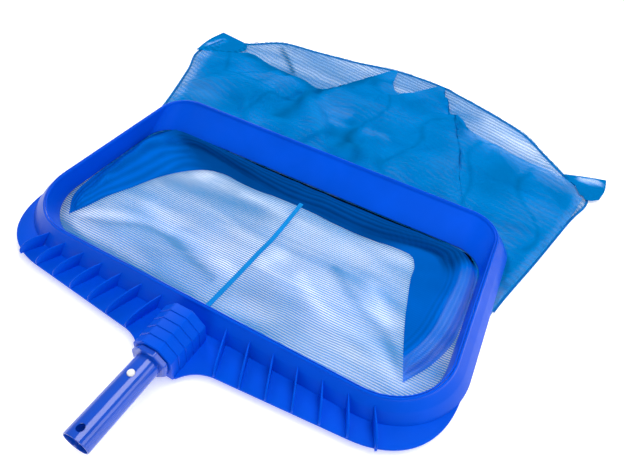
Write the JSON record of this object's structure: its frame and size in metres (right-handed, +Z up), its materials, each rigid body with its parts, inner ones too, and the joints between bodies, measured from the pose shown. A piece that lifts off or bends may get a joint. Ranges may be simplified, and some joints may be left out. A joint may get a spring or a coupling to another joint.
{
  "type": "leaf skimmer net",
  "caption": "Pool leaf skimmer net: wide plastic scoop ring with ribbed flange and handle socket, short handle tube with push-button clip, and a deep mesh bag laid flat behind it.",
  "frame": {"origin": "middle of the footprint, on the surface that the net lies on", "axes": "+Y from the handle's open end towards the end of the bag, +X to the right of the ring, +Z up out of the ring's mouth"},
  "size_m": [0.7906, 0.8596, 0.0514],
  "materials": {
    "frame_plastic": "satin moulded polypropylene",
    "sleeve_plastic": "moulded",
    "tube_metal": "blue anodised, glossy",
    "net_fabric": "woven polyester mesh",
    "seam_tape": "woven binding tape",
    "hem_cord": "braided cord",
    "button_plastic": "moulded nylon",
    "spring_steel": "rolled strip",
    "screw_steel": "stainless"
  },
  "bodies": {
    "root": {"outer_frame": "frame_plastic", "scoop_liner": "frame_plastic", "liner_screw_1": "screw_steel", "liner_screw_2": "screw_steel", "liner_screw_3": "screw_steel", "liner_screw_4": "screw_steel", "liner_screw_5": "screw_steel", "liner_screw_6": "screw_steel", "liner_screw_7": "screw_steel", "liner_screw_8": "screw_steel", "handle_tube": "tube_metal", "handle_collar": "tube_metal", "socket_sleeve": "sleeve_plastic", "tube_screw_1": "screw_steel", "tube_screw_2": "screw_steel", "clip_spring": "spring_steel", "bag_hem": "net_fabric", "hem_cord": "hem_cord", "bag_lower_panel": "net_fabric", "bag_upper_panel": "net_fabric", "centre_seam_tape": "seam_tape", "side_seam_tape_right": "seam_tape", "side_seam_tape_left": "seam_tape", "end_seam_tape": "seam_tape", "corner_tab_right": "seam_tape", "corner_tab_left": "seam_tape"},
    "upper_button": {"button_upper": "button_plastic"},
    "lower_button": {"button_lower": "button_plastic"}
  },
  "joints": [
    {"name": "upper_button_press", "type": "slide", "parent": "root", "child": "upper_button", "axis": [0, -0.0689, -0.9976], "range_m": [0, 0.0045], "stiffness_N_per_m": 800, "springref_m": -0.001, "deforming": ["clip_spring"]},
    {"name": "lower_button_press", "type": "slide", "parent": "root", "child": "lower_button", "axis": [0, 0.0689, 0.9976], "range_m": [0, 0.0045], "stiffness_N_per_m": 800, "springref_m": -0.001, "deforming": ["clip_spring"]}
  ]
}
